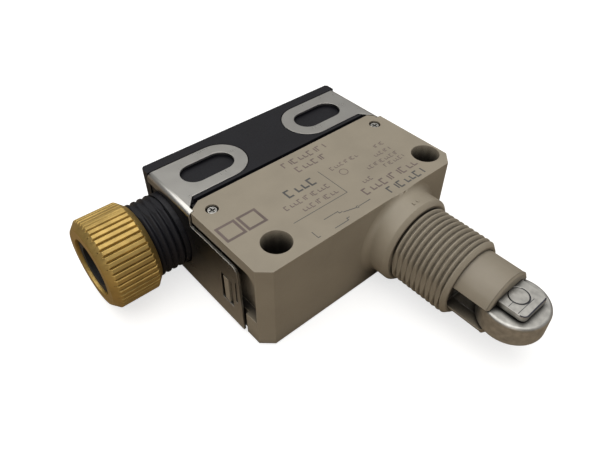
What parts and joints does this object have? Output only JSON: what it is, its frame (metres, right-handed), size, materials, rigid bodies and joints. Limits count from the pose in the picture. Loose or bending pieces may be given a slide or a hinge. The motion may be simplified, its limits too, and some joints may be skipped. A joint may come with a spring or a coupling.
{
  "type": "limit switch",
  "caption": "Roller-plunger limit switch with threaded bushing, side latch brackets, terminal cover and cable gland.",
  "frame": {"origin": "midway between the two mounting holes, on the flat back face", "axes": "+X towards the cable gland, +Y outward along the plunger, +Z out of the front face"},
  "size_m": [0.0582, 0.0627, 0.0172],
  "materials": {
    "beige_paint": "satin paint on die-cast metal",
    "plunger_finish": "satin",
    "black_resin": "moulded, slightly textured",
    "stainless_sheet": "brushed sheet",
    "turned_steel": "turned and ground",
    "plated_screw": "bright plated",
    "gland_brass": "turned, knurled",
    "inner_brass": "turned",
    "black_rubber": "matte",
    "phenolic": "moulded",
    "red_nylon": "moulded",
    "contact_copper": "rolled strip",
    "contact_silver": "silver rivet",
    "spring_steel": "drawn wire"
  },
  "bodies": {
    "switch_body": {"housing": "beige_paint", "case_screws": "plated_screw", "terminal_cover": "black_resin", "cover_gasket": "black_rubber", "gland_latch_bracket": "stainless_sheet", "far_latch_bracket": "stainless_sheet", "gland_seal": "black_rubber", "spring_seat": "inner_brass", "return_spring": "spring_steel", "switch_base": "phenolic", "switch_lid": "phenolic", "closed_contact": "contact_silver", "open_contact": "contact_silver", "common_terminal": "contact_copper", "closed_terminal": "contact_copper", "open_terminal": "contact_copper", "terminal_block": "black_resin", "terminal_clamps": "plated_screw", "terminal_screws": "plated_screw"},
    "plunger_head": {"plunger": "plunger_finish", "plunger_seal": "black_rubber", "roller_fork": "turned_steel", "roller_pin": "turned_steel"},
    "roller": {"roller": "turned_steel"},
    "push_rod": {"push_rod": "inner_brass", "overtravel_spring": "spring_steel"},
    "button": {"switch_button": "red_nylon"},
    "blade": {"moving_blade": "contact_copper", "moving_contact": "contact_silver"},
    "gland_washer": {"gland_washer": "inner_brass"},
    "gland_nut": {"gland_nut": "gland_brass"}
  },
  "joints": [
    {"name": "plunger_slide", "type": "slide", "parent": "switch_body", "child": "plunger_head", "axis": [0, -1, 0], "range_m": [0, 0.0045], "stiffness_N_per_m": 900, "deforming": ["return_spring", "overtravel_spring"]},
    {"name": "roller_spin", "type": "hinge", "parent": "plunger_head", "child": "roller", "pos_m": [-0.0063, 0.0278, 0.0086], "axis": [0, 0, 1], "continuous": true},
    {"name": "push_rod_slide", "type": "slide", "parent": "switch_body", "child": "push_rod", "axis": [0, -1, 0], "range_m": [0, 0.001]},
    {"name": "button_slide", "type": "slide", "parent": "switch_body", "child": "button", "axis": [0, -1, 0], "range_m": [0, 0.001]},
    {"name": "blade_tilt", "type": "hinge", "parent": "switch_body", "child": "blade", "pos_m": [0.0095, -0.007, 0.0076], "axis": [0, 0, 1], "range_deg": [0, 3.7]},
    {"name": "gland_nut_advance", "type": "slide", "parent": "switch_body", "child": "gland_washer", "axis": [1, 0, 0], "range_m": [0, 0.0024]},
    {"name": "gland_nut_turn", "type": "hinge", "parent": "gland_washer", "child": "gland_nut", "pos_m": [0.0345, -0.0216, 0.0086], "axis": [1, 0, 0], "range_deg": [0, 720]}
  ],
  "couplings": [
    {"joint": "push_rod_slide", "follows": "plunger_slide", "ratio": 0.2222},
    {"joint": "button_slide", "follows": "plunger_slide", "ratio": 0.2222},
    {"joint": "blade_tilt", "follows": "plunger_slide", "rad_per_m": 14.06},
    {"joint": "gland_nut_advance", "follows": "gland_nut_turn", "m_per_rad": 0.00019098}
  ]
}
